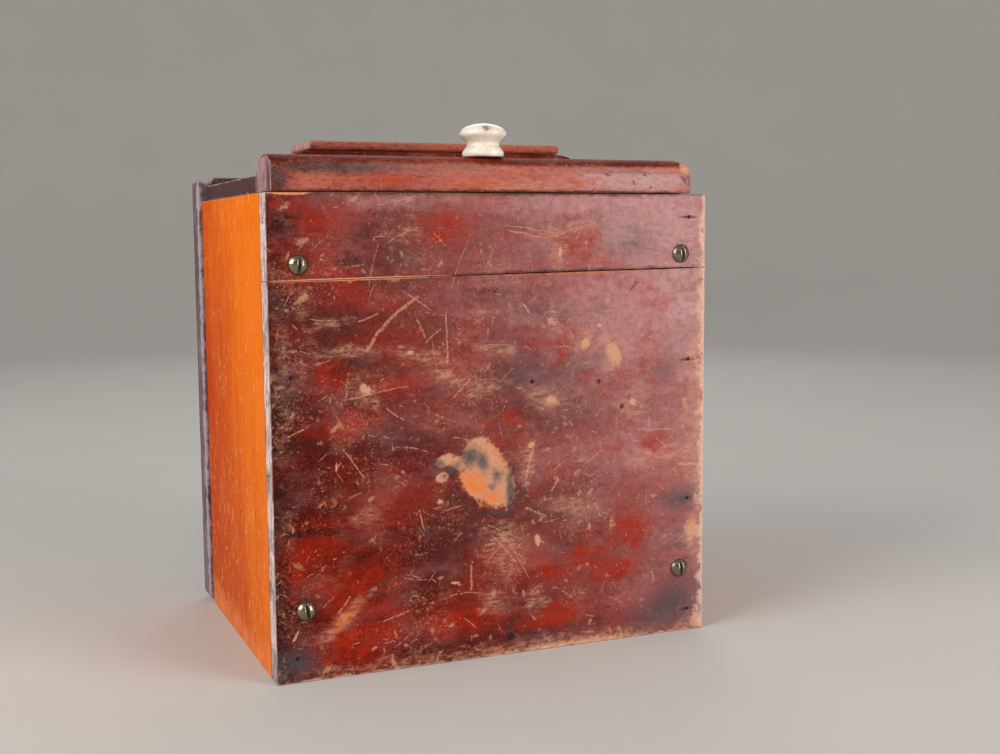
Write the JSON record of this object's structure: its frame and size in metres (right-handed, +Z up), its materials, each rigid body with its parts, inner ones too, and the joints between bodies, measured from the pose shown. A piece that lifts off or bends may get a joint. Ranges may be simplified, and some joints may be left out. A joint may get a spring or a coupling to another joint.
{
  "type": "salt box",
  "caption": "Antique wooden salt box: nailed square case with a moulded, hinged lid, a raised cap strip and a glazed white knob, for keeping salt by the stove.",
  "frame": {"origin": "on the surface the box stands on, under the middle of the boards' footprint", "axes": "+Z up, +Y from the front boards to the back board, +X to the right seen from the front"},
  "size_m": [0.1924, 0.1456, 0.2155],
  "materials": {
    "front_wood": "worn dark red varnish over softwood, scratched to bare wood",
    "side_wood": "clear amber varnish, upright grain",
    "back_wood": "aged, darkened, rubbed edges",
    "bare_wood": "unfinished, aged",
    "lid_wood": "worn red varnish, rubbed along the nosing",
    "glazed_knob": "cream-white glaze",
    "screw_steel": "tarnished slotted round heads",
    "old_brass": "dark, rubbed brass",
    "old_iron": "rusted dark iron"
  },
  "bodies": {
    "box": {"front_upper_board": "front_wood", "front_lower_board": "front_wood", "left_side": "side_wood", "right_side": "side_wood", "back_board": "back_wood", "bottom_board": "bare_wood", "front_screws": "screw_steel", "front_nails": "old_iron", "back_nails": "old_iron", "hinge_left_back_leaf": "old_brass", "hinge_right_back_leaf": "old_brass", "hinge_left_pin": "old_iron", "hinge_right_pin": "old_iron", "hinge_back_screws": "old_brass"},
    "lid": {"lid_board": "lid_wood", "lid_riser": "lid_wood", "lid_cap": "lid_wood", "knob": "glazed_knob", "knob_screw": "old_iron", "cap_brads": "old_iron", "hinge_left_lid_leaf": "old_brass", "hinge_right_lid_leaf": "old_brass", "hinge_lid_screws": "old_brass"}
  },
  "joints": [
    {"name": "lid_hinge", "type": "hinge", "parent": "box", "child": "lid", "pos_m": [0, 0.0572, 0.1961], "axis": [-1, 0, 0], "range_deg": [0, 165]}
  ]
}
